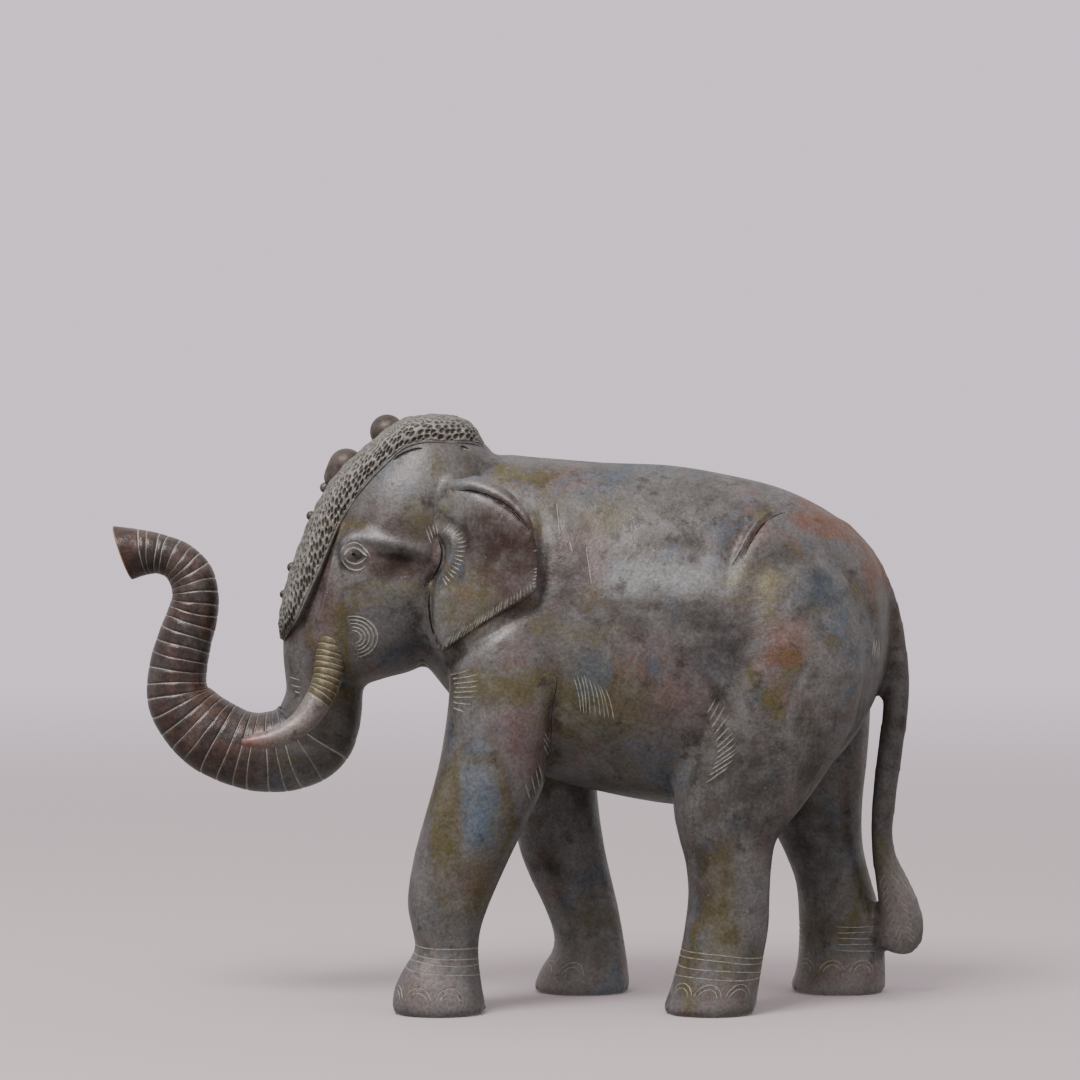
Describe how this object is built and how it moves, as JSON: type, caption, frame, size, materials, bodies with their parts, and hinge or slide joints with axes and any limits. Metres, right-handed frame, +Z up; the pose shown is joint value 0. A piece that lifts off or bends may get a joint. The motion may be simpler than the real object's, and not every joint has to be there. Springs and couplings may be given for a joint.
{
  "type": "bronze elephant sculpture",
  "caption": "Cast bronze walking elephant with raised curled trunk, tusks, chased skin lines, a studded forehead band and a mottled satin patina.",
  "frame": {"origin": "on the surface it stands on, under the middle of its overall box", "axes": "+Z up; +X towards the tail, so the head faces -X; its left side faces -Y"},
  "size_m": [0.4088, 0.1316, 0.2941],
  "materials": {
    "bronze": "satin dark brown bronze patina, mottled with blue-grey, olive and red-brown, pale in the chased lines"
  },
  "bodies": {
    "root": {"elephant": "bronze"}
  },
  "joints": []
}
